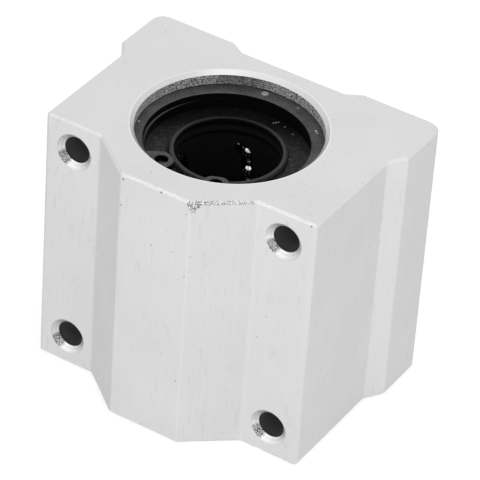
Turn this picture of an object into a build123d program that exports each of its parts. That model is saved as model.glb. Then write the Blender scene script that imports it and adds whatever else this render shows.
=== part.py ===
from build123d import *
import math
import os

# Linear bearing block for a 16 mm shaft: an extruded aluminium housing that holds a ball bearing
# cartridge between two internal circlips. Lengths are millimetres, angles are degrees.
#
# Frame: the origin is on the bore axis at the block's mid-length. +Z runs along the bore, +X across
# the width and +Y towards the mounting face, so the bolt flanges and the hump look towards -Y.
# The block stands on its lower end face.

# Housing, catalogue sizes
block_width = 50.0
block_length = 44.0
block_height = 38.5  # mounting face to the top of the hump
flange_height = 32.5  # mounting face to the two bolt flanges
axis_height = 19.0  # mounting face to the bore axis
bolt_spacing_x = 36.0
bolt_spacing_z = 34.0
bolt_hole_d = 4.3
thread_d = 5.0  # outer diameter of the thread that is tapped from the mounting face
thread_depth = 12.0

# Housing, the rest of the extruded profile
front_width = 46.2  # narrower width beside the flanges
step_front = 5.9  # where the side starts to step out, measured from the bore axis
step_back = 8.85  # where the side reaches the full width
hump_base_width = 26.8
hump_top_width = 12.0
relief_width = 22.8  # channel in the mounting face, at its mouth
relief_floor_width = 18.0
relief_depth = 1.5
mounting_corner_r = 2.2
hump_corner_r = 0.8
valley_r = 1.0

# Housing, machined edges
edge_break = 0.4  # bevel around both end faces
flange_corner_r = edge_break + 0.2  # the bevel leaves a radius of 0.2 at the end faces
bore_mouth_bevel = 0.6
countersink_d = 6.0
countersink_angle = 90.0
thread_mouth_d = 5.6
thread_lead = 0.8  # cone between the tapped stretch and the bolt hole

# Bearing sleeve
shaft_d = 16.0
sleeve_d = 28.0
sleeve_length = 37.0
sleeve_fit_gap = 0.01  # to the housing's bore, radial
sleeve_mouth_bevel = 0.25
sleeve_edge_bevel = 0.5
ring_seat_d = 27.0  # two outer grooves, which a plain bored housing would use
ring_seat_width = 1.6
ring_seat_spacing = 26.5  # over the outer walls of the two grooves

# Balls and their tracks
ball_d = 3.175
circuit_count = 5
first_row_angle = 100.0  # loaded row of the first circuit, from +X
ball_gap = 0.01  # ball to its track in the sleeve
return_gap = 0.05  # returning ball to the relieved bore of the sleeve
chain_gap = 0.03  # least space between two balls that follow each other
chain_start = 0.7  # where the first circuit's balls stand, as a share of their pitch
chain_step = 0.37  # how much further the next circuit's balls have run
track_height = 1.1  # how far a loaded track stands proud of the relieved bore
track_width = 3.6
track_flank_angle = 3.0  # each flank spreads by this much towards the sleeve's wall
track_end_bevel = 0.4

# Cage
cage_shaft_gap = 0.25
cage_sleeve_gap = 0.08
cage_end_wall = 0.4
channel_gap = 0.04  # ball to the channel around it
pocket_flank_angle = 2.0  # room beside each flank of a track

# Stop rings inside the sleeve
stop_ring_thickness = 0.7
stop_ring_inner_d = 22.8
stop_ring_bite = 0.55  # how deep it sits in the sleeve's wall
stop_ring_opening = 3.0
stop_ring_play = 0.04

# End seals
seal_recess = 1.7  # seal face below the sleeve's end
seal_thickness = 1.3
seal_fit_gap = 0.02
lip_gap = 0.02  # lip to the shaft, radial
lip_height = 0.9  # lip above the seal's face
lip_width = 0.6
lip_land = 0.3  # straight stretch of a lip beside the shaft
lip_flank = 0.35  # how far the lip's foot spreads
lip_hollow = 0.75  # how far the rubber stands back from the shaft between the lips
lip_corner_r = 0.1
core_thickness = 0.4
core_rim_height = 1.0
core_inner_d = 19.4

# Circlips
circlip_thickness = 1.2
circlip_groove_d = 29.4
circlip_groove_width = 1.3
circlip_seat_gap = 0.02
circlip_inner_d = 24.6
circlip_offset = 0.6  # the inner edge's centre, towards the opening
circlip_edge_bevel = 0.1
opening_angle = 14.5  # half the opening between the lugs
lug_hole_angle = 24.5  # lug hole to the middle of the opening
lug_hole_r = 11.4  # radius on which the lug holes lie
lug_hole_d = 2.0
lug_height = 4.8  # from the groove's floor to the lug's tip
lug_tip_angle = 8.0  # half the width of a lug's tip
lug_foot_angle = 13.5  # lug hole to the place where the lug runs into the band
lug_corner_r = 1.3
upper_opening_direction = -91.5
lower_opening_direction = 88.0

# Places and radii that follow from the sizes above
mounting_face_y = axis_height
flange_y = axis_height - flange_height
hump_y = axis_height - block_height
end_z = block_length / 2
sleeve_end_z = sleeve_length / 2
bore_r = sleeve_d / 2
sleeve_r = bore_r - sleeve_fit_gap
ball_r = ball_d / 2
loaded_r = shaft_d / 2 + ball_r
track_r = loaded_r + ball_r + ball_gap
relief_r = track_r + track_height
return_r = relief_r - return_gap - ball_r
channel_r = ball_r + channel_gap
stop_ring_r = relief_r + stop_ring_bite

# The plane of a circuit touches the circle of loaded balls, so a ball that leaves the loaded row
# never comes nearer to the shaft. This settles how far off the return row is, and so the turns.
return_angle = math.degrees(math.acos(loaded_r / return_r))
turn_radius = math.sqrt(return_r**2 - loaded_r**2) / 2

seal_face_z = sleeve_end_z - seal_recess
seal_back_z = seal_face_z - seal_thickness
stop_ring_z = seal_back_z - stop_ring_thickness
cage_end_z = stop_ring_z - stop_ring_play
straight_half = cage_end_z - cage_end_wall - channel_r - turn_radius


def polar(radius, angle):
    """Point at this radius and this angle from +X."""
    turn = math.radians(angle)
    return (radius * math.cos(turn), radius * math.sin(turn))


def row_angle(index):
    """Direction of a circuit's loaded row."""
    return first_row_angle + index * 360 / circuit_count


def circuit_plane(index):
    """Plane of one ball circuit: its x runs from the loaded row to the return row, its y along the
    bore, and its normal points away from the shaft."""
    loaded = Vector(*polar(loaded_r, row_angle(index)))
    returning = Vector(*polar(return_r, row_angle(index) + return_angle))
    across = returning - loaded
    return Plane((loaded + returning) / 2, x_dir=across, z_dir=across.cross(Vector(0, 0, 1)))


def ball_places(start):
    """Ball centres in the plane of a circuit, a close chain along its two straights and two turns.
    Lengths count in steps from one ball to the next, and a step in a turn is an arc whose chord is
    the pitch. As many balls go in as have room."""
    pitch = ball_d + chain_gap
    turn_step = 2 * math.asin(pitch / (2 * turn_radius))
    straight_steps = 2 * straight_half / pitch
    half_loop = straight_steps + math.pi / turn_step
    count = int(2 * half_loop)
    places = []
    for index in range(count):
        half, along = divmod((index + start % 1) * 2 * half_loop / count, half_loop)
        if along < straight_steps:
            x, y = -turn_radius, along * pitch - straight_half
        else:
            swing = math.pi - (along - straight_steps) * turn_step
            x = turn_radius * math.cos(swing)
            y = straight_half + turn_radius * math.sin(swing)
        sign = 1 if half == 0 else -1
        places.append((sign * x, sign * y))
    return places


def track_sections(inner_r, outer_r, inner_half_angle, outer_half_angle):
    """One sector between two radii for each circuit, centred on its loaded row."""
    with BuildSketch() as sections:
        for index in range(circuit_count):
            middle = row_angle(index)
            with BuildLine():
                inner = ThreePointArc(
                    polar(inner_r, middle - inner_half_angle),
                    polar(inner_r, middle),
                    polar(inner_r, middle + inner_half_angle),
                )
                outer = ThreePointArc(
                    polar(outer_r, middle - outer_half_angle),
                    polar(outer_r, middle),
                    polar(outer_r, middle + outer_half_angle),
                )
                Line(inner @ 0, outer @ 0)
                Line(inner @ 1, outer @ 1)
            make_face()
    return sections.sketch


def circlip_outline(direction):
    """Outline of a circlip whose opening faces this way. Its inner edge is an eccentric circle, so
    the band is widest opposite the opening, and each end is a lug with a round eye."""
    outer_r = circlip_groove_d / 2 - circlip_seat_gap
    tip_r = circlip_groove_d / 2 - lug_height
    root_r = (circlip_inner_d / 2 + circlip_offset + outer_r) / 2
    with BuildSketch() as outline:
        Circle(outer_r)
        with Locations(polar(circlip_offset, direction)):
            Circle(circlip_inner_d / 2, mode=Mode.SUBTRACT)
        foot_angle = lug_hole_angle + lug_foot_angle
        for side in (1, -1):
            with BuildSketch(mode=Mode.PRIVATE) as lug:
                with BuildLine():
                    Polyline(
                        polar(root_r, direction + side * foot_angle),
                        polar(tip_r, direction + side * (lug_hole_angle + lug_tip_angle)),
                        polar(tip_r, direction + side * (lug_hole_angle - lug_tip_angle)),
                        polar(lug_hole_r, direction + side * opening_angle),
                        polar(root_r, direction + side * opening_angle),
                    )
                    ThreePointArc(
                        polar(root_r, direction + side * opening_angle),
                        polar(root_r, direction + side * (opening_angle + foot_angle) / 2),
                        polar(root_r, direction + side * foot_angle),
                    )
                make_face()
                corners = lug.vertices().sort_by_distance((0, 0, 0))
                fillet(corners[:2], lug_corner_r)
            add(lug.sketch)
        with BuildLine():
            Polyline(
                (0, 0),
                polar(sleeve_d, direction - opening_angle),
                polar(sleeve_d, direction + opening_angle),
                close=True,
            )
        make_face(mode=Mode.SUBTRACT)
        with Locations(
            polar(lug_hole_r, direction - lug_hole_angle),
            polar(lug_hole_r, direction + lug_hole_angle),
        ):
            Circle(lug_hole_d / 2, mode=Mode.SUBTRACT)
    return outline.sketch


os.makedirs("parts", exist_ok=True)

# Housing block: the extruded profile, then the bore with its two grooves, and the four bolt holes
with BuildPart() as housing_block:
    with BuildSketch() as profile:
        with BuildLine():
            Polyline(
                (0, mounting_face_y - relief_depth),
                (relief_floor_width / 2, mounting_face_y - relief_depth),
                (relief_width / 2, mounting_face_y),
                (block_width / 2, mounting_face_y),
                (block_width / 2, step_back),
                (front_width / 2, step_front),
                (front_width / 2, flange_y),
                (hump_base_width / 2, flange_y),
                (hump_top_width / 2, hump_y),
                (0, hump_y),
                close=True,
            )
        make_face()
        for x, y, radius in (
            (block_width / 2, mounting_face_y, mounting_corner_r),
            (block_width / 2, step_back, flange_corner_r),
            (front_width / 2, step_front, flange_corner_r),
            (front_width / 2, flange_y, flange_corner_r),
            (hump_base_width / 2, flange_y, valley_r),
            (hump_top_width / 2, hump_y, hump_corner_r),
        ):
            fillet(profile.vertices().sort_by_distance((x, y, 0))[0], radius)
        mirror(about=Plane.YZ)
    extrude(amount=end_z, both=True)
    chamfer(housing_block.faces().filter_by(Axis.Z).edges(), edge_break)
    Hole(bore_r)
    mouths = housing_block.faces().filter_by(Axis.Z).edges().filter_by(GeomType.CIRCLE)
    chamfer(mouths.group_by(SortBy.RADIUS)[-1], bore_mouth_bevel)
    for side in (1, -1):
        with Locations((0, 0, side * (sleeve_end_z + circlip_groove_width / 2))):
            Cylinder(circlip_groove_d / 2, circlip_groove_width, mode=Mode.SUBTRACT)
    with Locations(Plane((0, flange_y, 0), x_dir=(1, 0, 0), z_dir=(0, -1, 0))):
        with GridLocations(bolt_spacing_x, bolt_spacing_z, 2, 2):
            CounterSinkHole(
                bolt_hole_d / 2, countersink_d / 2, counter_sink_angle=countersink_angle
            )
    with Locations(Plane((0, mounting_face_y, 0), x_dir=(-1, 0, 0), z_dir=(0, 1, 0))):
        with GridLocations(bolt_spacing_x, bolt_spacing_z, 2, 2):
            CounterSinkHole(
                thread_d / 2,
                thread_mouth_d / 2,
                depth=thread_depth,
                counter_sink_angle=countersink_angle,
            )
            with Locations((0, 0, -thread_depth)):
                Cone(
                    bolt_hole_d / 2,
                    thread_d / 2,
                    thread_lead,
                    align=(Align.CENTER, Align.CENTER, Align.MAX),
                    mode=Mode.SUBTRACT,
                )
housing_block.part.label = "housing_block"
export_step(housing_block.part, "parts/housing_block.step")

# Bearing sleeve: a hardened steel tube, relieved inside except for one ground track per circuit
track_half_angle = math.degrees(track_width / 2 / track_r)
with BuildPart() as bearing_sleeve:
    with BuildSketch():
        Circle(sleeve_r)
        Circle(relief_r, mode=Mode.SUBTRACT)
    extrude(amount=sleeve_end_z, both=True)
    rims = bearing_sleeve.edges().filter_by(GeomType.CIRCLE).group_by(SortBy.RADIUS)
    chamfer(rims[-1], sleeve_edge_bevel)
    chamfer(rims[0], sleeve_mouth_bevel)
    for side in (1, -1):
        with BuildSketch(Plane.XY.offset(side * (ring_seat_spacing - ring_seat_width) / 2)):
            Circle(bore_r)
            Circle(ring_seat_d / 2, mode=Mode.SUBTRACT)
        extrude(amount=ring_seat_width / 2, both=True, mode=Mode.SUBTRACT)
        with Locations((0, 0, side * (seal_back_z + stop_ring_z) / 2)):
            Cylinder(stop_ring_r + stop_ring_play, stop_ring_thickness, mode=Mode.SUBTRACT)
    with BuildSketch():
        add(
            track_sections(
                track_r,
                (relief_r + sleeve_r) / 2,
                track_half_angle,
                track_half_angle + track_flank_angle,
            )
        )
    extrude(amount=straight_half, both=True)
    track_rims = bearing_sleeve.edges().filter_by(GeomType.CIRCLE).group_by(SortBy.RADIUS)[0]
    chamfer(track_rims, track_end_bevel)
bearing_sleeve.part.label = "bearing_sleeve"
export_step(bearing_sleeve.part, "parts/bearing_sleeve.step")

# Ball circuits: loose steel balls that run down the loaded row and back along the return row
for index in range(circuit_count):
    with BuildPart() as ball_circuit:
        with Locations(circuit_plane(index)):
            with Locations(*ball_places(chain_start + index * chain_step)):
                Sphere(ball_r)
    ball_circuit.part.label = f"ball_circuit_{index + 1}"
    export_step(ball_circuit.part, f"parts/ball_circuit_{index + 1}.step")

# Cage: a plastic tube with one race-track channel per circuit, open to the shaft only along the
# loaded row, and with pockets that take the sleeve's tracks
pocket_half_angle = track_half_angle + pocket_flank_angle
with BuildPart() as ball_cage:
    with BuildSketch():
        Circle(relief_r - cage_sleeve_gap)
        Circle(shaft_d / 2 + cage_shaft_gap, mode=Mode.SUBTRACT)
    extrude(amount=cage_end_z, both=True)
    with BuildSketch():
        add(
            track_sections(
                track_r - cage_sleeve_gap,
                sleeve_r,
                pocket_half_angle,
                pocket_half_angle + track_flank_angle,
            )
        )
    extrude(amount=straight_half + channel_gap, both=True, mode=Mode.SUBTRACT)
    for index in range(circuit_count):
        plane = circuit_plane(index)
        with BuildSketch(plane):
            SlotCenterToCenter(2 * straight_half, 2 * (turn_radius + channel_r), rotation=90)
            SlotCenterToCenter(
                2 * straight_half, 2 * (turn_radius - channel_r), rotation=90, mode=Mode.SUBTRACT
            )
        extrude(amount=sleeve_d, mode=Mode.SUBTRACT)
        with BuildLine(plane) as route:
            returning = Line((turn_radius, -straight_half), (turn_radius, straight_half))
            upper_turn = ThreePointArc(
                returning @ 1, (0, straight_half + turn_radius), (-turn_radius, straight_half)
            )
            loaded = Line(upper_turn @ 1, (-turn_radius, -straight_half))
            ThreePointArc(loaded @ 1, (0, -straight_half - turn_radius), returning @ 0)
        with BuildSketch(Plane(returning @ 0, z_dir=returning % 0)):
            Circle(channel_r)
        sweep(path=route.wires()[0], mode=Mode.SUBTRACT)
ball_cage.part.label = "ball_cage"
export_step(ball_cage.part, "parts/ball_cage.step")

# Stop rings: split steel rings in the sleeve's inner grooves, which keep the cage in
for name, side in (("upper_stop_ring", 1), ("lower_stop_ring", -1)):
    with BuildPart() as stop_ring:
        with BuildSketch(Plane.XY.offset(side * (seal_back_z + stop_ring_z) / 2)):
            Circle(stop_ring_r)
            Circle(stop_ring_inner_d / 2, mode=Mode.SUBTRACT)
            with Locations((0, side * stop_ring_r)):
                Rectangle(stop_ring_opening, stop_ring_r, mode=Mode.SUBTRACT)
        extrude(amount=stop_ring_thickness / 2, both=True)
    stop_ring.part.label = name
    export_step(stop_ring.part, f"parts/{name}.step")

# Seal cores: pressed sheet steel, an inner disc with a rim that seats in the sleeve
seal_r = relief_r - seal_fit_gap
core_inner_r = core_inner_d / 2
for name, side in (("upper_seal_core", 1), ("lower_seal_core", -1)):
    back, inside = side * seal_back_z, side * (seal_back_z + core_thickness)
    rim = side * (seal_back_z + core_rim_height)
    with BuildPart() as seal_core:
        with BuildSketch(Plane.XZ):
            with BuildLine():
                Polyline(
                    (core_inner_r, back),
                    (seal_r, back),
                    (seal_r, rim),
                    (seal_r - core_thickness, rim),
                    (seal_r - core_thickness, inside),
                    (core_inner_r, inside),
                    close=True,
                )
            make_face()
        revolve(axis=Axis.Z)
    seal_core.part.label = name
    export_step(seal_core.part, f"parts/{name}.step")

# End seals: rubber moulded over the core, with one lip inside and a taller one that shows outside
lip_r = shaft_d / 2 + lip_gap
for name, side in (("upper_end_seal", 1), ("lower_end_seal", -1)):
    back, inside = side * seal_back_z, side * (seal_back_z + core_thickness)
    rim, face = side * (seal_back_z + core_rim_height), side * seal_face_z
    tip = side * (seal_face_z + lip_height)
    with BuildPart() as end_seal:
        with BuildSketch(Plane.XZ) as section:
            with BuildLine():
                Polyline(
                    (seal_r, face),
                    (lip_r + lip_width + lip_flank, face),
                    (lip_r + lip_width, tip),
                    (lip_r, tip),
                    (lip_r, tip - side * lip_land),
                    (lip_r + lip_hollow, (face + back) / 2),
                    (lip_r, back + side * lip_land),
                    (lip_r, back),
                    (core_inner_r, back),
                    (core_inner_r, inside),
                    (seal_r - core_thickness, inside),
                    (seal_r - core_thickness, rim),
                    (seal_r, rim),
                    close=True,
                )
            make_face()
            tips = section.vertices().filter_by_position(
                Axis.Z, min(face, tip) + lip_corner_r * side, max(face, tip)
            )
            fillet(tips, lip_corner_r)
        revolve(axis=Axis.Z)
    end_seal.part.label = name
    export_step(end_seal.part, f"parts/{name}.step")

# Circlips: stamped spring steel, seated in the housing's grooves against the sleeve's ends
for name, base_z, direction in (
    ("upper_circlip", sleeve_end_z, upper_opening_direction),
    ("lower_circlip", -sleeve_end_z - circlip_thickness, lower_opening_direction),
):
    with BuildPart() as circlip:
        with BuildSketch(Plane.XY.offset(base_z)):
            add(circlip_outline(direction))
        extrude(amount=circlip_thickness)
        chamfer(circlip.faces().filter_by(Axis.Z).edges(), circlip_edge_bevel)
    circlip.part.label = name
    export_step(circlip.part, f"parts/{name}.step")
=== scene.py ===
# %% [markdown]
# A linear bearing block for a 16 mm shaft
#
# The block is an extruded aluminium housing with a closed ball bearing inside it. Its shapes come
# packed from the CAD model, so this lesson loads them as they are and gives each one the finish
# that the real metal, rubber or plastic has. It then adds what the CAD model leaves out, which is
# the screw thread in the four tapped holes. Lengths are in metres, apart from the places and the
# limits inside the materials, which are in millimetres.

import bpy
import numpy as np
from mathutils import Matrix, Vector


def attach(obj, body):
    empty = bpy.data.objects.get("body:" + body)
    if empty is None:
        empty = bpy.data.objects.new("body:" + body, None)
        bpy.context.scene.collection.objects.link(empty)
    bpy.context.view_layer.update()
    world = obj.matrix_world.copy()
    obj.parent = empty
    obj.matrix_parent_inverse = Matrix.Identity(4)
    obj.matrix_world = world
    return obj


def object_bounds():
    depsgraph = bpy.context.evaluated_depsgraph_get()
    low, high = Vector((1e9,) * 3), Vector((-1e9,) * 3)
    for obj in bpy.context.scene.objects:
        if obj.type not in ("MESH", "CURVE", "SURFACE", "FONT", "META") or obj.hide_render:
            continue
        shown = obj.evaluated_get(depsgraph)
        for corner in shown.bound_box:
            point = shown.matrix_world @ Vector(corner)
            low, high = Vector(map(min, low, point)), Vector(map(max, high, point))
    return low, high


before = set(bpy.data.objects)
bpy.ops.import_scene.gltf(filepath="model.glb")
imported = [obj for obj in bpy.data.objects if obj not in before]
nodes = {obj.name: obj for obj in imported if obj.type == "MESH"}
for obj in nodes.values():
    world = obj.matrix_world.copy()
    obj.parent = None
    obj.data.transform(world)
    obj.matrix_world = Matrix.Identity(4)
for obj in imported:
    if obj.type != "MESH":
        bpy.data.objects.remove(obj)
cad_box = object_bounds()
print("CAD box", cad_box)
print("nodes", sorted(nodes))

# %% [markdown]
# Camera
#
# The photograph looks down on the block from the right at about 36 degrees, with a long lens. A
# camera could be set by eye, or aimed with a constraint. Here its place and two of its axes are
# written as numbers, because they were worked out from the straight edges in the photograph, and
# numbers give the same picture on every run. The third axis is square to both. A Blender camera
# looks along its own -Z, so the view axis goes in with its sign turned round.

# %% Camera
camera_place = Vector((0.209093, -0.354212, 0.305217))
view_axis = Vector((-0.404484, 0.695361, -0.594025))
right_axis = Vector((0.840471, 0.538709, 0.058314))
focal_in_pixels = 3440.5
image_width = 480

camera_data = bpy.data.cameras.new("camera")
camera_data.sensor_width = 36.0
camera_data.lens = focal_in_pixels * camera_data.sensor_width / image_width
camera_data.clip_start = 0.01
camera_data.clip_end = 10.0
camera = bpy.data.objects.new("camera", camera_data)
bpy.context.scene.collection.objects.link(camera)
up_axis = right_axis.cross(view_axis)
turn = Matrix((right_axis, up_axis, -view_axis)).transposed()
camera.matrix_world = Matrix.Translation(camera_place) @ turn.to_4x4()
bpy.context.scene.camera = camera
print("lens", round(camera_data.lens, 1), "mm, up", tuple(round(c, 3) for c in up_axis))

# %% [markdown]
# Colours and nodes
#
# Colours are easiest to read as the hex values that a picture editor shows, but shader sockets want
# linear light. One function does that step. A second one adds a shader node, sets its values, links
# its inputs and hands back its output, so that each material below reads as a chain of steps. A
# plain number or colour is set on the socket itself, and another node's output is linked to it.

# %% Helpers for colours and nodes


def linear(hex_colour):
    """Linear RGBA of an sRGB hex colour. Each channel c, from 0 to 1, becomes c / 12.92 up to
    0.04045, and ((c + 0.055) / 1.055) to the power 2.4 above it."""
    channels = [int(hex_colour[i : i + 2], 16) / 255 for i in (1, 3, 5)]
    lit = [c / 12.92 if c <= 0.04045 else ((c + 0.055) / 1.055) ** 2.4 for c in channels]
    return (*lit, 1.0)


def add_node(tree, kind, inputs=None, output=0, **settings):
    """Adds a node of this kind and returns the output socket with this number or name. settings are
    its properties, and inputs gives its sockets a plain value or the output that feeds them."""
    node = tree.nodes.new(kind)
    for name, value in settings.items():
        setattr(node, name, value)
    for socket, value in (inputs or {}).items():
        if isinstance(value, bpy.types.NodeSocket):
            tree.links.new(value, node.inputs[socket])
        else:
            node.inputs[socket].default_value = value
    return node.outputs[output] if node.outputs else node


def new_material(name):
    """An empty node material, and its node tree."""
    material = bpy.data.materials.new(name)
    material.use_nodes = True
    material.node_tree.nodes.clear()
    return material, material.node_tree


def dress(node_name, material):
    """Puts one material on every slot of a CAD node."""
    slots = nodes[node_name].material_slots
    for slot in slots:
        slot.material = material
    print(node_name, len(slots), "slot:", material.name)


# %% [markdown]
# Background
#
# The photograph is a product picture on pure white. The white could come from strong lamps, but
# those would burn out the metal too. So the world looks white to the camera, to reflections and
# through glass only, by the Light Path node, while the light that it sheds stays plain.

# %% Background
scene = bpy.context.scene
scene.view_settings.view_transform = "Standard"
world_level = 0.7

world = bpy.data.worlds.new("white_studio")
world.use_nodes = True
scene.world = world
tree = world.node_tree
tree.nodes.clear()
rays = add_node(tree, "ShaderNodeLightPath").node.outputs
seen = rays["Is Camera Ray"]
for other in (rays["Is Glossy Ray"], rays["Is Transmission Ray"]):
    seen = add_node(tree, "ShaderNodeMath", {0: seen, 1: other}, operation="MAXIMUM")
strength = add_node(tree, "ShaderNodeMapRange", {"Value": seen, "To Min": world_level,
                                                 "To Max": 1.0})
background = add_node(tree, "ShaderNodeBackground", {"Color": (1, 1, 1, 1), "Strength": strength})
add_node(tree, "ShaderNodeOutputWorld", {"Surface": background})
print("world level", world_level)

# %% [markdown]
# Floor
#
# The block stands on a white card. More light on the card would make it as white as the background,
# and would bleach the block too. So the card glows a little by itself, to the camera only, which
# lights nothing else and leaves the block's shadow on it.

# %% Floor
floor_half = 2.0
touch_gap = 0.00005  # keeps the card and the block's lower end from flickering where they touch
floor_z = cad_box[0][2] - touch_gap
floor_glow = 0.32
floor_mesh = bpy.data.meshes.new("floor")
corners = [(-floor_half, -floor_half, floor_z), (floor_half, -floor_half, floor_z),
           (floor_half, floor_half, floor_z), (-floor_half, floor_half, floor_z)]
floor_mesh.from_pydata(corners, [], [(0, 1, 2, 3)])
floor = bpy.data.objects.new("floor", floor_mesh)
scene.collection.objects.link(floor)

floor_material, tree = new_material("white_card")
to_camera = add_node(tree, "ShaderNodeLightPath", output="Is Camera Ray")
lift = add_node(tree, "ShaderNodeMath", {0: to_camera, 1: floor_glow}, operation="MULTIPLY")
card = add_node(tree, "ShaderNodeBsdfDiffuse", {"Color": linear("#F2F2F2")})
glow = add_node(tree, "ShaderNodeEmission", {"Color": (1, 1, 1, 1), "Strength": lift})
both = add_node(tree, "ShaderNodeAddShader", {0: card, 1: glow})
add_node(tree, "ShaderNodeOutputMaterial", {"Surface": both})
floor_mesh.materials.append(floor_material)
print("floor at z", round(floor_z, 4))

# %% [markdown]
# Lamps
#
# The light of the photograph is soft and comes from all round, a little stronger from the front.
# One large softbox overhead would do for a matt object, but satin metal mirrors its lamps, and each
# upright face needs one to mirror. So two low panels, in front and on the right, light the upright
# faces, and three weak lamps look down on the bevels, on the end face and into the bore.

# %% Lamps


def soft_lamp(name, place, width, height, power):
    """A rectangular area lamp that faces the middle of the block."""
    data = bpy.data.lights.new(name, "AREA")
    data.shape = "RECTANGLE"
    data.size = width
    data.size_y = height
    data.energy = power
    lamp = bpy.data.objects.new(name, data)
    lamp.location = place
    lamp.rotation_euler = (-Vector(place)).to_track_quat("-Z", "Y").to_euler()
    scene.collection.objects.link(lamp)
    print(name, power, "W from", place)


panel_width = 0.40
panel_height = 0.04  # no higher than the block, so that the panels don't burn out its end face
soft_lamp("front_panel", (0.0, -0.65, 0.0), panel_width, panel_height, 1.53)
soft_lamp("right_panel", (0.62, -0.10, 0.0), panel_width, panel_height, 1.16)
soft_lamp("key_lamp", (-0.22, -0.42, 0.55), 0.22, 0.22, 0.14)
soft_lamp("over_lamp", (0.26, -0.29, 0.57), 0.30, 0.30, 0.38)
soft_lamp("back_lamp", (-0.10, 0.45, 0.50), 0.45, 0.45, 0.43)

# %% [markdown]
# Housing: extruded aluminium, clear anodised
#
# The bar comes out of its die with faint lines along the bore's direction. It is sawn to length,
# milled at both ends, bevelled round the ends, bored, drilled, and then etched and anodised to a
# pale satin grey. One material can hold all of that, because each cut lies at a known place: the
# masks below ask for the height z, the distance from the bore's axis and the distance from the
# nearest bolt hole's axis. The other way is one material per face, which needs a mesh cut into
# faces, and the CAD mesh stays as it is.

# %% Housing material: coordinates
housing_material, tree = new_material("anodised_extruded_aluminium")
place = add_node(tree, "ShaderNodeTexCoord", output="Object")
in_mm = add_node(tree, "ShaderNodeVectorMath", {0: place, "Scale": 1000.0}, operation="SCALE")
x, y, z = add_node(tree, "ShaderNodeSeparateXYZ", {0: in_mm}).node.outputs
height = add_node(tree, "ShaderNodeMath", {0: z}, operation="ABSOLUTE")
beside_bore = add_node(tree, "ShaderNodeVectorMath", {0: in_mm, 1: (1, 1, 0)},
                       operation="MULTIPLY")
from_bore = add_node(tree, "ShaderNodeVectorMath", {0: beside_bore}, output="Value",
                     operation="LENGTH")
# The bolt axes stand 36 mm apart in x and 34 mm in z, so a wrapped place is the same at all four.
wrapped = add_node(tree, "ShaderNodeVectorMath", {0: in_mm, 1: (36, 100, 34), 2: (0, -100, 0)},
                   operation="WRAP")
to_bolt = add_node(tree, "ShaderNodeVectorMath", {0: wrapped, 1: (18, 0, 17)},
                   operation="SUBTRACT")
beside_bolt = add_node(tree, "ShaderNodeVectorMath", {0: to_bolt, 1: (1, 0, 1)},
                       operation="MULTIPLY")
from_bolt = add_node(tree, "ShaderNodeVectorMath", {0: beside_bolt}, output="Value",
                     operation="LENGTH")
facing = add_node(tree, "ShaderNodeNewGeometry", output="True Normal")
facing_y = add_node(tree, "ShaderNodeSeparateXYZ", {0: facing}, output=1)
print("housing: place, height and distances from the bore's and the bolts' axes, in mm")

# %% Housing material: bevels and bore
# The limits of all masks are in mm, and each lies 0.01 mm or more off the edge of its cut.
mouth_bevel_z = 21.39
end_bevel_z = 21.61
end_face_z = 21.99
bored_r = 14.75
above_mouth_bevel = add_node(tree, "ShaderNodeMath", {0: height, 1: mouth_bevel_z},
                             operation="GREATER_THAN")
above_end_bevel = add_node(tree, "ShaderNodeMath", {0: height, 1: end_bevel_z},
                           operation="GREATER_THAN")
below_end_face = add_node(tree, "ShaderNodeMath", {0: height, 1: end_face_z},
                          operation="LESS_THAN")
is_bore = add_node(tree, "ShaderNodeMath", {0: from_bore, 1: bored_r}, operation="LESS_THAN")
is_bore_mouth = add_node(tree, "ShaderNodeMath", {0: is_bore, 1: above_mouth_bevel},
                         operation="MULTIPLY")
is_end_bevel = add_node(tree, "ShaderNodeMath", {0: above_end_bevel, 1: below_end_face},
                        operation="MULTIPLY")
print("masks of the bore, its mouth and the end bevels")

# %% Housing material: bare edge of the front bevel
# The bevel of the faces towards -Y has lost its oxide along its middle, 0.3 mm high, and
# 0.1 mm on the flange towards -X. It leans by 45 degrees, so its normal's y is -0.71.
bevel_facing_y = -0.66
bevel_middle_z = 21.8
left_valley_x = -14.0
left_narrowing = 0.12
faces_front = add_node(tree, "ShaderNodeMath", {0: facing_y, 1: bevel_facing_y},
                       operation="LESS_THAN")
off_middle = add_node(tree, "ShaderNodeMath", {0: height, 1: bevel_middle_z}, operation="SUBTRACT")
off_middle = add_node(tree, "ShaderNodeMath", {0: off_middle}, operation="ABSOLUTE")
on_left_flange = add_node(tree, "ShaderNodeMath", {0: x, 1: left_valley_x}, operation="LESS_THAN")
off_middle = add_node(tree, "ShaderNodeMath", {0: on_left_flange, 1: left_narrowing,
                                               2: off_middle}, operation="MULTIPLY_ADD")
in_middle = add_node(tree, "ShaderNodeMapRange", {"Value": off_middle, "From Min": 0.2,
                                                  "From Max": 0.12})
is_bare_edge = add_node(tree, "ShaderNodeMath", {0: in_middle, 1: faces_front},
                        operation="MULTIPLY")
print("mask of the bare edge, round z", bevel_middle_z, "mm")

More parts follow.
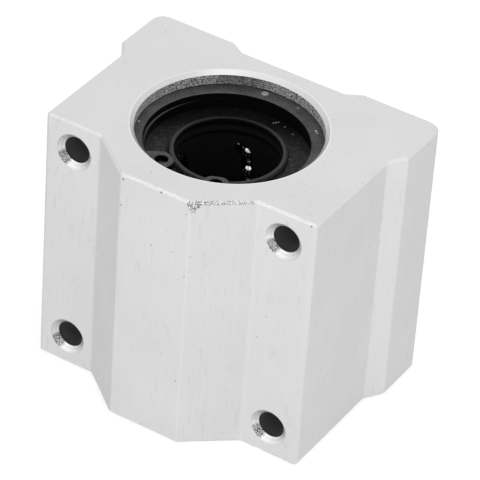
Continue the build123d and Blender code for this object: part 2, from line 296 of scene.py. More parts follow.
# %% Housing material: bolt holes
# The cone goes in from the flanges, then comes the drilled wall, then the thread.
countersink_r = 3.03
flange_y = -13.49
cone_end_y = -12.58
drilled_y = -12.62
thread_start_y = 6.3
near_mounting_face_y = 18.9
by_a_bolt = add_node(tree, "ShaderNodeMath", {0: from_bolt, 1: countersink_r},
                     operation="LESS_THAN")
behind_flange = add_node(tree, "ShaderNodeMath", {0: y, 1: flange_y}, operation="GREATER_THAN")
before_mounting_face = add_node(tree, "ShaderNodeMath", {0: y, 1: near_mounting_face_y},
                                operation="LESS_THAN")
behind_cone = add_node(tree, "ShaderNodeMath", {0: y, 1: drilled_y}, operation="GREATER_THAN")
before_thread = add_node(tree, "ShaderNodeMath", {0: y, 1: thread_start_y}, operation="LESS_THAN")
is_bolt_hole = by_a_bolt
for limit in (behind_flange, before_mounting_face):
    is_bolt_hole = add_node(tree, "ShaderNodeMath", {0: is_bolt_hole, 1: limit},
                            operation="MULTIPLY")
is_drilled = is_bolt_hole
for limit in (behind_cone, before_thread):
    is_drilled = add_node(tree, "ShaderNodeMath", {0: is_drilled, 1: limit}, operation="MULTIPLY")
is_turned = add_node(tree, "ShaderNodeMath", {0: is_bore, 1: is_bolt_hole}, operation="MAXIMUM")
print("masks of the bolt holes and their drilled walls")

# %% Housing material: torn metal, painted dark
# The drill tore the metal at one side of each countersink, towards -x and -z. The patch is also
# painted dark there, as a painted reflection of the dark that the cone mirrors.
tear_middle = (-1.95, 0, -1.7)
from_tear = add_node(tree, "ShaderNodeVectorMath", {0: beside_bolt, 1: tear_middle},
                     output="Value", operation="DISTANCE")
near_tear = add_node(tree, "ShaderNodeMapRange", {"Value": from_tear, "From Min": 1.3,
                                                  "From Max": 0.85})
in_cone = add_node(tree, "ShaderNodeMath", {0: y, 1: cone_end_y}, operation="LESS_THAN")
is_torn_and_painted_dark = near_tear
for limit in (is_bolt_hole, in_cone):
    is_torn_and_painted_dark = add_node(tree, "ShaderNodeMath", {0: is_torn_and_painted_dark, 1: limit}, operation="MULTIPLY")
print("mask of the torn metal, down to y", cone_end_y, "mm")

# %% [markdown]
# Housing: the grain of its surface
#
# Each tool leaves its own grain: lines from the die, a fine etch, facets from the boring bar, rings
# from the countersink. Photographs of metal could supply them, but noise that is stretched and
# scaled from the real spacing needs no picture and fits every face. The places come in millimetres,
# so a scale of 4 gives marks about 0.25 mm apart.

# %% Housing material: grain of the extruded and etched faces
# Die lines run along z, about 0.25 mm apart, so the noise is stretched over 60 times that way.
die_place = add_node(tree, "ShaderNodeVectorMath", {0: in_mm, 1: (4.0, 4.0, 0.06)},
                     operation="MULTIPLY")
die_lines = add_node(tree, "ShaderNodeTexNoise", {"Vector": die_place, "Scale": 1.0, "Detail": 3.0,
                                                  "Roughness": 0.6})
# The etch before anodising leaves a grain of some 0.02 mm, drawn here at 0.12 mm so that it shows.
# The marks where the drill tore the metal are as fine.
grain = add_node(tree, "ShaderNodeTexNoise", {"Vector": in_mm, "Scale": 8.0, "Detail": 2.0})
# Handling leaves broad, faint clouds, about 9 mm across.
clouds = add_node(tree, "ShaderNodeTexNoise", {"Vector": in_mm, "Scale": 0.11, "Detail": 2.0})
print("die lines, etched grain and clouds")

# %% Housing material: grain of the cuts
# A turned cut leaves a torn, sparkling surface: facets about 0.2 mm long and 0.15 mm high.
torn_place = add_node(tree, "ShaderNodeVectorMath", {0: in_mm, 1: (5.0, 5.0, 7.0)},
                      operation="MULTIPLY")
torn = add_node(tree, "ShaderNodeTexNoise", {"Vector": torn_place, "Scale": 1.0, "Detail": 2.0,
                                             "Roughness": 0.6})
# The countersinking tool leaves rings about 0.2 mm apart, in the cone and faintly just outside it.
ring_place = add_node(tree, "ShaderNodeCombineXYZ", {"X": from_bolt})
rings = add_node(tree, "ShaderNodeTexNoise", {"Vector": ring_place, "Scale": 5.0, "Detail": 2.0})
ring_level = add_node(tree, "ShaderNodeMapRange", {"Value": rings, "From Min": 0.35,
                                                   "From Max": 0.65})
print("torn facets and countersink rings")

# %% Housing material: marks of handling
# Scratches and pressed-in dirt on knocked edges are about 0.2 mm wide.
scuffs = add_node(tree, "ShaderNodeTexNoise", {"Vector": in_mm, "Scale": 4.5, "Detail": 4.0,
                                               "Roughness": 0.75})
# Knocks in the flat faces: a pit of 0.25 mm at the middle of each cell of about 4 mm that the face
# happens to cut, made ragged by the scuffs. The pit's radius counts in cells.
pit_raggedness = 0.09
pit_r = 0.078
pits = add_node(tree, "ShaderNodeTexVoronoi", {"Vector": in_mm, "Scale": 0.25}, output="Distance")
ragged = add_node(tree, "ShaderNodeMath", {0: scuffs, 1: pit_raggedness, 2: pits},
                  operation="MULTIPLY_ADD")
in_pit = add_node(tree, "ShaderNodeMath", {0: ragged, 1: pit_r}, operation="LESS_THAN")
# Rubs from packing: short streaks about 0.5 mm wide and 3 mm long.
rub_place = add_node(tree, "ShaderNodeVectorMath", {0: in_mm, 1: (1.6, 1.6, 0.35)},
                     operation="MULTIPLY")
rubs = add_node(tree, "ShaderNodeTexNoise", {"Vector": rub_place, "Scale": 1.0, "Detail": 2.0})
print("scuffs, pits and rubs")

# %% [markdown]
# Housing: wear at the hump's right edge
#
# The slant on the right of the hump was knocked along its upper edge, most of all at its corner. The
# dents are far too small to model, and a painted mask would be tied to one mesh, so the band of
# scuffs is fenced off by its limits in x, y and z.

# %% Housing material: knocked edge
# The band of scuffs is 0.5 mm deep, and deepens to 1.8 mm at the corner.
corner_x = 6.3
hump_right_x = 5.4
right_valley_x = 13.0
before_flange_y = -13.6
from_corner = add_node(tree, "ShaderNodeMath", {0: x, 1: corner_x}, operation="SUBTRACT")
from_corner = add_node(tree, "ShaderNodeMath", {0: from_corner}, operation="ABSOLUTE")
band_foot_z = add_node(tree, "ShaderNodeMapRange", {"Value": from_corner, "From Min": 0.3,
                                                    "From Max": 0.9, "To Min": 20.2,
                                                    "To Max": 21.5})
above_foot = add_node(tree, "ShaderNodeMath", {0: z, 1: band_foot_z}, operation="GREATER_THAN")
right_of_corner = add_node(tree, "ShaderNodeMath", {0: x, 1: hump_right_x},
                           operation="GREATER_THAN")
left_of_valley = add_node(tree, "ShaderNodeMath", {0: x, 1: right_valley_x}, operation="LESS_THAN")
before_flange = add_node(tree, "ShaderNodeMath", {0: y, 1: before_flange_y}, operation="LESS_THAN")
is_knocked = right_of_corner
for limit in (left_of_valley, before_flange, above_foot, below_end_face):
    is_knocked = add_node(tree, "ShaderNodeMath", {0: is_knocked, 1: limit}, operation="MULTIPLY")
bright = add_node(tree, "ShaderNodeMapRange", {"Value": scuffs, "From Min": 0.42,
                                               "From Max": 0.36})
dirty = add_node(tree, "ShaderNodeMapRange", {"Value": scuffs, "From Min": 0.49, "From Max": 0.54})
# The dirt thins out away from the corner.
dirt_share = add_node(tree, "ShaderNodeMapRange", {"Value": x, "From Min": 6.8, "From Max": 10.5,
                                                   "To Min": 1.0, "To Max": 0.55})
is_bright_knock = add_node(tree, "ShaderNodeMath", {0: is_knocked, 1: bright},
                           operation="MULTIPLY")
is_dirty_knock = is_knocked
for share in (dirty, dirt_share):
    is_dirty_knock = add_node(tree, "ShaderNodeMath", {0: is_dirty_knock, 1: share},
                              operation="MULTIPLY")
print("knocked edge from x", hump_right_x, "to", right_valley_x, "mm")

# %% Housing material: nicks
# Use has also nicked the crown, its upper edge and the right corner. Each nick has its place and
# its radius.
nicks = (((1.0, -19.5, 21.62), 0.16), ((22.27, -13.5, 21.59), 0.16), ((-5.44, -19.5, 21.09), 0.19),
         ((-5.62, -19.5, 16.53), 0.13), ((-0.22, -19.5, 11.82), 0.12), ((5.61, -19.5, 8.75), 0.11),
         ((5.25, -19.5, -10.51), 0.12), ((5.4, -19.5, 19.72), 0.11))
nick_masks = []
for nick_place, nick_r in nicks:
    away = add_node(tree, "ShaderNodeVectorMath", {0: in_mm, 1: nick_place}, output="Value",
                    operation="DISTANCE")
    nick_masks.append(add_node(tree, "ShaderNodeMath", {0: away, 1: nick_r},
                               operation="LESS_THAN"))
print("nicks", len(nicks))

# %% [markdown]
# Housing: colour
#
# Clear anodising lets the aluminium's own pale grey through, and each cut shades it a little: bare
# metal is paler and a turned wall sparkles. The drilled holes are painted dark, as shade, and a
# patch of each countersink is painted dark as a reflection of dark surroundings. A material for each
# would say the same grain again and again, so one material lays the colours over each other, each
# through its mask. The outside goes first, with its wear, and the bore and the holes after it, so
# that no mark of the outside shows in them.

# %% Housing material: colour of the bored wall
# Towards the back of the bearing, away from the circlip's lugs, and at right angles to that.
back_direction = (-0.503, 0.864, 0)
across_direction = (0.864, 0.503, 0)
band_aside = 1.0
speckle = add_node(tree, "ShaderNodeMapRange", {"Value": torn, "From Min": 0.42,
                                                "From Max": 0.58})
bored_colour = add_node(tree, "ShaderNodeMix", {0: speckle, 6: linear("#6C6C6C"),
                                                7: linear("#FFFFFF")},
                        output=2, data_type="RGBA")
# The bored wall is darker in a band about 7 mm wide, a little off the middle of the back, and on
# the wall across from it.
aside = add_node(tree, "ShaderNodeVectorMath", {0: in_mm, 1: across_direction}, output="Value",
                 operation="DOT_PRODUCT")
aside = add_node(tree, "ShaderNodeMath", {0: aside, 1: band_aside}, operation="SUBTRACT")
aside = add_node(tree, "ShaderNodeMath", {0: aside}, operation="ABSOLUTE")
darker_band = add_node(tree, "ShaderNodeMapRange", {"Value": aside, "From Min": 2.2, "From Max": 5.0,
                                             "To Min": 0.6, "To Max": 1.0})
bored_colour = add_node(tree, "ShaderNodeVectorMath", {0: bored_colour, "Scale": darker_band},
                        operation="SCALE")
print("bored wall, with oil", band_aside, "mm off the back")

# %% Housing material: colours of the holes and the bare edge
sunk_colour = add_node(tree, "ShaderNodeMix", {0: ring_level, 6: linear("#CCCCCD"),
                                               7: linear("#EEEEEF")},
                       output=2, data_type="RGBA")
# The torn patch: torn grain, and a dark that is partly a painted reflection.
scored = add_node(tree, "ShaderNodeMapRange", {"Value": grain, "From Min": 0.42, "From Max": 0.62})
torn_and_painted_dark_colour = add_node(tree, "ShaderNodeMix", {0: scored, 6: linear("#3A3A3A"),
                                               7: linear("#D0D0D1")},
                       output=2, data_type="RGBA")
dull = add_node(tree, "ShaderNodeMapRange", {"Value": scuffs, "From Min": 0.5, "From Max": 0.62})
bare_colour = add_node(tree, "ShaderNodeMix", {0: dull, 6: linear("#E0E0E1"),
                                               7: linear("#C2C2C3")},
                       output=2, data_type="RGBA")
# The drilled walls are painted dark, as shade inside the holes, and darkest near their mouths.
oil = add_node(tree, "ShaderNodeMapRange", {"Value": y, "From Min": -12.6, "From Max": -8.6})
hole_shade_colour = add_node(tree, "ShaderNodeMix", {0: oil, 6: linear("#393939"),
                                                7: linear("#767676")},
                        output=2, data_type="RGBA")
print("colours of the sunk, torn, bare and oiled metal")

# %% Housing material: the colours laid over each other
layers = [(is_end_bevel, linear("#D8D8D9")), (is_bare_edge, bare_colour),
          (is_bright_knock, linear("#E8E8E8")), (is_dirty_knock, linear("#505050")),
          (in_pit, linear("#B4B4B4"))]
layers += [(is_nick, linear("#8C8C8C")) for is_nick in nick_masks]
layers += [(is_bore, bored_colour), (is_bolt_hole, sunk_colour), (is_torn_and_painted_dark, torn_and_painted_dark_colour),
           (is_bore_mouth, linear("#D6D6D7")), (is_drilled, hole_shade_colour)]
colour = linear("#D5D5D6")
for mask, over in layers:
    colour = add_node(tree, "ShaderNodeMix", {0: mask, 6: colour, 7: over}, output=2,
                      data_type="RGBA")
print("housing layers", len(layers))

# %% Housing material: faint shading by the grain
cloud_shade = add_node(tree, "ShaderNodeMapRange", {"Value": clouds, "From Min": 0.3,
                                                    "From Max": 0.7, "To Min": 0.985,
                                                    "To Max": 1.015})
line_shade = add_node(tree, "ShaderNodeMapRange", {"Value": die_lines, "From Min": 0.3,
                                                   "From Max": 0.7, "To Min": 0.985,
                                                   "To Max": 1.015})
rub_shade = add_node(tree, "ShaderNodeMapRange", {"Value": rubs, "From Min": 0.62,
                                                  "From Max": 0.7, "To Min": 1.0,
                                                  "To Max": 0.95})
ringed_r = 3.7  # a little past the countersink
round_hole = add_node(tree, "ShaderNodeMath", {0: from_bolt, 1: ringed_r}, operation="LESS_THAN")
ring_shade = add_node(tree, "ShaderNodeMapRange", {"Value": ring_level, "To Min": 0.97,
                                                   "To Max": 1.03})
ring_shade = add_node(tree, "ShaderNodeMix", {0: round_hole, 2: 1.0, 3: ring_shade},
                      data_type="FLOAT")
shade = cloud_shade
for part in (line_shade, rub_shade, ring_shade):
    shade = add_node(tree, "ShaderNodeMath", {0: shade, 1: part}, operation="MULTIPLY")
colour = add_node(tree, "ShaderNodeVectorMath", {0: colour, "Scale": shade}, operation="SCALE")
print("housing shaded by clouds, die lines, rubs and rings")

# %% [markdown]
# Housing: gloss and relief
#
# Etched and anodised metal scatters its highlights widely, and a fresh cut narrows them. The grain
# is a few hundredths of a millimetre deep, too fine for the mesh, so it goes into a bump, which
# turns the light as the real grain does and leaves the CAD model's shape alone.

# %% Housing material: roughness, bump and surface
anodised_roughness = 0.67
cut_roughness = 0.45
oil_roughness = 0.5  # comes on top of the cut's
bored_relief = 12.0  # comes on top of the 1 of every turned wall
fine_relief = 0.5
pit_relief = -1.5
bored_wall = add_node(tree, "ShaderNodeMath", {0: is_bore, 1: is_bore_mouth},
                      operation="SUBTRACT")
is_cut = is_bore_mouth
for mask in (is_bare_edge, is_bolt_hole):
    is_cut = add_node(tree, "ShaderNodeMath", {0: is_cut, 1: mask}, operation="MAXIMUM")
roughness = add_node(tree, "ShaderNodeMapRange", {"Value": is_cut, "To Min": anodised_roughness,
                                                  "To Max": cut_roughness})
roughness = add_node(tree, "ShaderNodeMath", {0: is_drilled, 1: oil_roughness, 2: roughness},
                     operation="MULTIPLY_ADD")
metallic = add_node(tree, "ShaderNodeMath", {0: 1.0, 1: is_drilled}, operation="SUBTRACT")
tear_depth = add_node(tree, "ShaderNodeMath", {0: bored_wall, 1: bored_relief, 2: is_turned},
                      operation="MULTIPLY_ADD")
turned_rise = add_node(tree, "ShaderNodeMath", {0: torn, 1: tear_depth}, operation="MULTIPLY")
fine_rise = add_node(tree, "ShaderNodeMath", {0: die_lines, 1: grain}, operation="ADD")
rise = add_node(tree, "ShaderNodeMath", {0: fine_rise, 1: fine_relief, 2: turned_rise},
                operation="MULTIPLY_ADD")
rise = add_node(tree, "ShaderNodeMath", {0: in_pit, 1: pit_relief, 2: rise},
                operation="MULTIPLY_ADD")
bump = add_node(tree, "ShaderNodeBump", {"Height": rise, "Strength": 0.12, "Distance": 0.00002})
surface = add_node(tree, "ShaderNodeBsdfPrincipled", {"Base Color": colour, "Metallic": metallic,
                                                      "Roughness": roughness, "Normal": bump})
add_node(tree, "ShaderNodeOutputMaterial", {"Surface": surface})
dress("housing_block", housing_material)

# %% [markdown]
# Circlips: phosphated spring steel
#
# A circlip is stamped from spring steel strip, then phosphated and oiled, which turns it dark grey
# with a fine dry grain. The coat chips where pliers or the bench have touched it, so bright steel
# shows in one oval spot and in a few pinpoints. A chip could be painted on a map, but a ball round
# its place cuts the same spot out of the face with no map.

# %% Circlip material: grain and wear
circlip_material, tree = new_material("phosphated_spring_steel")
place = add_node(tree, "ShaderNodeTexCoord", output="Object")
in_mm = add_node(tree, "ShaderNodeVectorMath", {0: place, "Scale": 1000.0}, operation="SCALE")
# The phosphate crystals are some 0.01 mm, drawn here at 0.15 mm so that they show.
grain = add_node(tree, "ShaderNodeTexNoise", {"Vector": in_mm, "Scale": 6.0, "Detail": 4.0,
                                              "Roughness": 0.75})
patches = add_node(tree, "ShaderNodeTexNoise", {"Vector": in_mm, "Scale": 0.5, "Detail": 2.0})
patch_share = 0.3
mottle = add_node(tree, "ShaderNodeMath", {0: patches, 1: patch_share, 2: grain},
                  operation="MULTIPLY_ADD")
level = add_node(tree, "ShaderNodeMapRange", {"Value": mottle, "From Min": 0.5, "From Max": 0.8})
colour = add_node(tree, "ShaderNodeMix", {0: level, 6: linear("#2A2A2A"), 7: linear("#545454")},
                  output=2, data_type="RGBA")
# Painted light: the coat is made lighter towards the back, away from the lugs.
towards_back = add_node(tree, "ShaderNodeVectorMath", {0: in_mm, 1: back_direction},
                        output="Value", operation="DOT_PRODUCT")
painted_back_light = add_node(tree, "ShaderNodeMapRange", {"Value": towards_back, "From Min": 2.0,
                                             "From Max": 12.0, "To Min": 1.17, "To Max": 1.7})
colour = add_node(tree, "ShaderNodeVectorMath", {0: colour, "Scale": painted_back_light}, operation="SCALE")
# The stamped edges are painted near-black, as shade where they face into the dark bore. They are
# where the normal's z is small.
edge_facing_z = 0.6
facing = add_node(tree, "ShaderNodeNewGeometry", output="True Normal")
facing_z = add_node(tree, "ShaderNodeSeparateXYZ", {0: facing}, output=2)
facing_z = add_node(tree, "ShaderNodeMath", {0: facing_z}, operation="ABSOLUTE")
is_edge = add_node(tree, "ShaderNodeMath", {0: facing_z, 1: edge_facing_z},
                   operation="LESS_THAN")
colour = add_node(tree, "ShaderNodeMix", {0: is_edge, 6: colour, 7: linear("#141414")}, output=2,
                  data_type="RGBA")
print("circlip grain, worn lighter at the back")

# %% Circlip material: chips and surface
circlip_top_z = 19.7
chips = ((-2.06, 13.01, 0.56), (-12.91, -4.34, 0.16), (3.86, 12.77, 0.15), (9.12, 9.32, 0.17),
         (9.51, 8.97, 0.14))
for chip_x, chip_y, chip_r in chips:
    away = add_node(tree, "ShaderNodeVectorMath", {0: in_mm, 1: (chip_x, chip_y, circlip_top_z)},
                    output="Value", operation="DISTANCE")
    is_chip = add_node(tree, "ShaderNodeMath", {0: away, 1: chip_r}, operation="LESS_THAN")
    colour = add_node(tree, "ShaderNodeMix", {0: is_chip, 6: colour, 7: linear("#B8B8B8")},
                      output=2, data_type="RGBA")
bump = add_node(tree, "ShaderNodeBump", {"Height": grain, "Strength": 0.3, "Distance": 0.00003})
surface = add_node(tree, "ShaderNodeBsdfPrincipled", {"Base Color": colour, "Metallic": 0.85,
                                                      "Roughness": 0.55, "Normal": bump})
add_node(tree, "ShaderNodeOutputMaterial", {"Surface": surface})
print("chips", len(chips))
for name in ("upper_circlip", "lower_circlip"):
    dress(name, circlip_material)

# %% [markdown]
# Seals: moulded nitrile rubber
#
# Each end of the bearing is closed by a black rubber seal with a raised lip. Rubber hardly mirrors
# anything: it shows a soft sheen, a fine mould texture, a few pale scratches and a little dust. The
# lip's crest is polished by the shaft's passing. Its hollow inside and the back half of the seal are
# painted dark, as shade in the recess. As on the housing, distance from the bore and height tell
# these places apart.

# %% Seal material: where the lip lies
seal_material, tree = new_material("moulded_nitrile_rubber")
# The crest's radius and the height above which it lies, and the hollow's, below which it lies.
lip_crest_r = 8.25
lip_crest_z = 17.6
lip_hollow_r = 8.85
lip_hollow_z = 17.3
place = add_node(tree, "ShaderNodeTexCoord", output="Object")
in_mm = add_node(tree, "ShaderNodeVectorMath", {0: place, "Scale": 1000.0}, operation="SCALE")
beside_bore = add_node(tree, "ShaderNodeVectorMath", {0: in_mm, 1: (1, 1, 0)},
                       operation="MULTIPLY")
from_bore = add_node(tree, "ShaderNodeVectorMath", {0: beside_bore}, output="Value",
                     operation="LENGTH")
z = add_node(tree, "ShaderNodeSeparateXYZ", {0: in_mm}, output=2)
height = add_node(tree, "ShaderNodeMath", {0: z}, operation="ABSOLUTE")
on_top = add_node(tree, "ShaderNodeMath", {0: height, 1: lip_crest_z}, operation="GREATER_THAN")
from_crest = add_node(tree, "ShaderNodeMath", {0: from_bore, 1: lip_crest_r},
                      operation="SUBTRACT")
from_crest = add_node(tree, "ShaderNodeMath", {0: from_crest}, operation="ABSOLUTE")
near_crest = add_node(tree, "ShaderNodeMapRange", {"Value": from_crest, "From Min": 0.28,
                                                   "From Max": 0.12})
is_crest = add_node(tree, "ShaderNodeMath", {0: on_top, 1: near_crest}, operation="MULTIPLY")
inside_lip = add_node(tree, "ShaderNodeMath", {0: from_bore, 1: lip_hollow_r},
                      operation="LESS_THAN")
below_crest = add_node(tree, "ShaderNodeMath", {0: height, 1: lip_hollow_z},
                       operation="LESS_THAN")
is_hollow = add_node(tree, "ShaderNodeMath", {0: inside_lip, 1: below_crest},
                     operation="MULTIPLY")
print("masks of the lip's crest and its hollow")

# %% Seal material: rubber, dust, scratches and oil
# The mould's texture is about 0.15 mm wide, and the dust gathers in patches of about 1 mm.
texture = add_node(tree, "ShaderNodeTexNoise", {"Vector": in_mm, "Scale": 6.0, "Detail": 3.0})
dust = add_node(tree, "ShaderNodeTexNoise", {"Vector": in_mm, "Scale": 1.2, "Detail": 5.0,
                                             "Roughness": 0.7})
dusty = add_node(tree, "ShaderNodeMapRange", {"Value": dust, "From Min": 0.45, "From Max": 0.75})
colour = add_node(tree, "ShaderNodeMix", {0: dusty, 6: linear("#313131"), 7: linear("#515151")},
                  output=2, data_type="RGBA")
# Pale scratches about 0.12 mm wide and 0.7 mm long, where the circlip or a pick has slipped.
scratch_place = add_node(tree, "ShaderNodeVectorMath", {0: in_mm, 1: (1.4, 6.0, 6.0)},
                         operation="MULTIPLY")
scratches = add_node(tree, "ShaderNodeTexNoise", {"Vector": scratch_place, "Scale": 1.0,
                                                  "Detail": 1.0})
scratched = add_node(tree, "ShaderNodeMapRange", {"Value": scratches, "From Min": 0.75,
                                                  "From Max": 0.78})
colour = add_node(tree, "ShaderNodeMix", {0: scratched, 6: colour, 7: linear("#828282")},
                  output=2, data_type="RGBA")
# Painted shade: the back half, away from the circlip's lugs, is darkened, as the recess shades it.
towards_back = add_node(tree, "ShaderNodeVectorMath", {0: in_mm, 1: back_direction},
                        output="Value", operation="DOT_PRODUCT")
painted_back_shade = add_node(tree, "ShaderNodeMapRange", {"Value": towards_back, "From Min": 0.5,
                                             "From Max": 8.0, "To Min": 1.0, "To Max": 0.14})
colour = add_node(tree, "ShaderNodeVectorMath", {0: colour, "Scale": painted_back_shade}, operation="SCALE")
print("rubber, dusty in front and oily at the back")

# %% Seal material: marks, lip and surface
# The pick that set the circlip left one scratch, drawn as three dots in a row, and three pricks.
seal_face_z = 16.8
marks = ((0.96, 10.93, 0.15), (1.20, 11.24, 0.17), (1.44, 11.56, 0.15), (2.85, 11.07, 0.13),
         (4.85, 10.16, 0.14), (7.81, 4.40, 0.15))
for mark_x, mark_y, mark_r in marks:
    away = add_node(tree, "ShaderNodeVectorMath", {0: in_mm, 1: (mark_x, mark_y, seal_face_z)},
                    output="Value", operation="DISTANCE")
    is_mark = add_node(tree, "ShaderNodeMath", {0: away, 1: mark_r}, operation="LESS_THAN")
    colour = add_node(tree, "ShaderNodeMix", {0: is_mark, 6: colour, 7: linear("#8C8C8C")},
                      output=2, data_type="RGBA")
# The crest is painted darker towards the back too, as shade.
crest_back_shade = add_node(tree, "ShaderNodeMapRange", {"Value": towards_back, "From Min": 3.0,
                                                  "From Max": 8.3})
crest_colour = add_node(tree, "ShaderNodeMix", {0: crest_back_shade, 6: linear("#464646"),
                                                7: linear("#262626")},
                        output=2, data_type="RGBA")
# The hollow inside the lip is painted near-black, as shade in the recess.
for mask, over in ((is_crest, crest_colour), (is_hollow, linear("#121212"))):
    colour = add_node(tree, "ShaderNodeMix", {0: mask, 6: colour, 7: over}, output=2,
                      data_type="RGBA")
bump = add_node(tree, "ShaderNodeBump", {"Height": texture, "Strength": 0.25,
                                         "Distance": 0.00004})
surface = add_node(tree, "ShaderNodeBsdfPrincipled", {"Base Color": colour, "Roughness": 0.7,
                                                      "IOR": 1.52, "Specular IOR Level": 0.06,
                                                      "Normal": bump})
add_node(tree, "ShaderNodeOutputMaterial", {"Surface": surface})
print("marks on the seal", len(marks))
for name in ("upper_end_seal", "lower_end_seal"):
    dress(name, seal_material)

# %% [markdown]
# Bearing steel and small steel parts
#
# The sleeve is hardened steel, ground on its outside; it is coloured dark grey all over, as painted
# shade, since it lies in the dark inside the housing. The balls are polished, so they need almost no
# texture: they mirror the dark bore and one spot of the white room. The stop rings and the seals'
# cores are plain steel that hardly shows. All of them are turned, ground or rolled metal that
# differs in grey, gloss and the spacing of its rings, so one function makes them, where a material
# for each would say the same thing four times. The tapped aluminium of the threads, further down,
# comes from it too.

# %% Steel of the sleeve, the balls and the rings


def turned_metal(name, dark, light, spacing_mm, roughness, depth):
    """Metal whose colour wanders between two greys, in rings round the bore every so many
    millimetres along z: noise on places scaled by 1000 / spacing along z, and by 120 across."""
    material, tree = new_material(name)
    place = add_node(tree, "ShaderNodeTexCoord", output="Object")
    ring_scale = (120.0, 120.0, 1000.0 / spacing_mm)
    in_rings = add_node(tree, "ShaderNodeVectorMath", {0: place, 1: ring_scale},
                        operation="MULTIPLY")
    rings = add_node(tree, "ShaderNodeTexNoise", {"Vector": in_rings, "Scale": 1.0,
                                                  "Detail": 3.0})
    level = add_node(tree, "ShaderNodeMapRange", {"Value": rings, "From Min": 0.3,
                                                  "From Max": 0.7})
    colour = add_node(tree, "ShaderNodeMix", {0: level, 6: linear(dark), 7: linear(light)},
                      output=2, data_type="RGBA")
    bump = add_node(tree, "ShaderNodeBump", {"Height": rings, "Strength": 0.2, "Distance": depth})
    surface = add_node(tree, "ShaderNodeBsdfPrincipled", {"Base Color": colour, "Metallic": 1.0,
                                                          "Roughness": roughness,
                                                          "Normal": bump})
    add_node(tree, "ShaderNodeOutputMaterial", {"Surface": surface})
    return material


# The sleeve's dark grey is painted shade, as it lies in the dark inside the housing.
sleeve_material = turned_metal("shade_darkened_bearing_steel", "#3C3C3D", "#48484A", 0.15, 0.35,
                               0.00001)
ball_material = turned_metal("polished_chrome_steel", "#B0B0B2", "#B8B8BA", 2.0, 0.08, 0.0000001)
spring_material = turned_metal("oiled_spring_steel", "#4A4A4B", "#5C5C5D", 0.2, 0.35, 0.00001)
sheet_material = turned_metal("pressed_sheet_steel", "#6A6A6B", "#7C7C7D", 0.4, 0.4, 0.00001)
dress("bearing_sleeve", sleeve_material)
for index in range(1, 6):
    dress(f"ball_circuit_{index}", ball_material)
for side in ("upper", "lower"):
    dress(f"{side}_stop_ring", spring_material)
    dress(f"{side}_seal_core", sheet_material)

# %% [markdown]
# Cage: moulded black polyacetal
#
# The cage is moulded in a slippery black engineering plastic, which oil makes blacker still. It
# lies in the dark behind the balls, where a plain black would do. A faint mottle in its colour and
# its relief, about 0.3 mm wide, costs little and keeps the cage true when it is looked at alone.

# %% Cage material
cage_material, tree = new_material("moulded_black_polyacetal")
place = add_node(tree, "ShaderNodeTexCoord", output="Object")
in_mm = add_node(tree, "ShaderNodeVectorMath", {0: place, "Scale": 1000.0}, operation="SCALE")
texture = add_node(tree, "ShaderNodeTexNoise", {"Vector": in_mm, "Scale": 3.0, "Detail": 2.0})
level = add_node(tree, "ShaderNodeMapRange", {"Value": texture, "From Min": 0.35,
                                              "From Max": 0.65})
colour = add_node(tree, "ShaderNodeMix", {0: level, 6: linear("#131313"), 7: linear("#1C1C1C")},
                  output=2, data_type="RGBA")
bump = add_node(tree, "ShaderNodeBump", {"Height": texture, "Strength": 0.15,
                                         "Distance": 0.00003})
surface = add_node(tree, "ShaderNodeBsdfPrincipled", {"Base Color": colour, "Roughness": 0.5,
                                                      "IOR": 1.48, "Specular IOR Level": 0.2,
                                                      "Normal": bump})
add_node(tree, "ShaderNodeOutputMaterial", {"Surface": surface})
dress("ball_cage", cage_material)

# %% [markdown]
# Thread in the tapped holes
#
# The four holes are tapped M5 from the mounting face, and the CAD model leaves their walls plain at
# the thread's outer diameter. Here one ridge winds down each wall. A Screw modifier could spin a
# small triangle, but its end caps and its place would take as much work as the formula: a grid with
# one row per step along the helix and one column per point of the ridge's section.

# %% Thread surface
pitch = 0.0008
root_r = 0.00252
crest_r = 0.00207
turns = 14.25
steps_per_turn = 40
lead_in = 0.75  # how far the first turn lies behind the mounting face, in pitches
end_share = 0.02  # what is left of the section at either end
mounting_face_y = 0.019
half_spacing_x = 0.018  # half of what lies between two bolt axes
half_spacing_z = 0.017


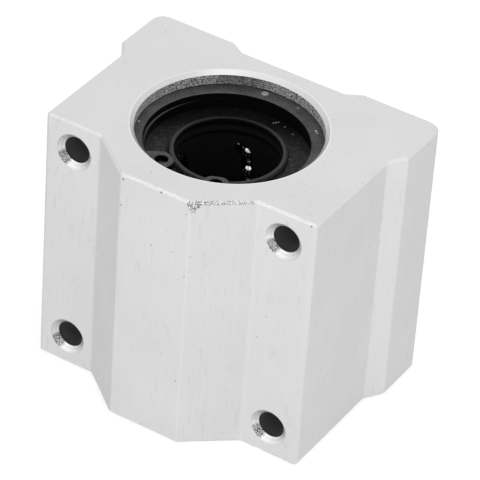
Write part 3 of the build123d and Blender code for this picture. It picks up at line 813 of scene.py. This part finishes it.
def thread_ridge(centre_x, centre_z):
    """One helical ridge round an axis along y. At step t the angle is 2 pi t / steps_per_turn, and
    the ridge's middle lies pitch x (lead_in + t / steps_per_turn) behind the mounting face. Its
    section is a trapezoid between the root and crest radii, which shrinks to end_share over the
    first and the last half turn."""
    count = int(turns * steps_per_turn)
    t = np.arange(count + 1)[:, None]
    angle = 2 * np.pi * t / steps_per_turn
    half_turn = steps_per_turn / 2
    fade = np.clip(np.minimum(t, count - t) / half_turn, end_share, 1.0)
    # the section's corners: how high above the root, as a share, and how far along, in pitches
    rise = np.array([0.0, 0.0, 1.0, 1.0])[None]
    shift = np.array([-0.44, 0.44, 0.06, -0.06])[None]
    radius = root_r - (root_r - crest_r) * rise * fade
    depth = pitch * (lead_in + t / steps_per_turn + shift * fade)
    grid = np.stack([centre_x + radius * np.cos(angle), mounting_face_y - depth,
                     centre_z + radius * np.sin(angle)], axis=-1)
    rows, columns = grid.shape[:2]
    row_start = np.arange(rows - 1)[:, None] * columns
    here = row_start + np.arange(columns)[None]
    beside = row_start + (np.arange(columns)[None] + 1) % columns
    faces = np.stack([beside, here, here + columns, beside + columns], axis=-1).reshape(-1, 4)
    last = (rows - 1) * columns
    caps = [[0, 1, 2, 3], [last + 3, last + 2, last + 1, last]]
    return grid.reshape(-1, 3), faces.tolist() + caps


thread_material = turned_metal("tapped_aluminium", "#8E8E90", "#B8B8BA", 0.3, 0.4, 0.00001)
for index, (side_x, side_z) in enumerate(((-1, -1), (1, -1), (-1, 1), (1, 1))):
    points, faces = thread_ridge(side_x * half_spacing_x, side_z * half_spacing_z)
    mesh = bpy.data.meshes.new(f"thread_{index + 1}")
    mesh.from_pydata(points.tolist(), [], faces)
    mesh.polygons.foreach_set("use_smooth", np.ones(len(mesh.polygons), dtype=bool))
    mesh.materials.append(thread_material)
    ridge = bpy.data.objects.new(f"thread_{index + 1}", mesh)
    scene.collection.objects.link(ridge)
    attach(ridge, "root")
    print(mesh.name, len(faces), "faces")
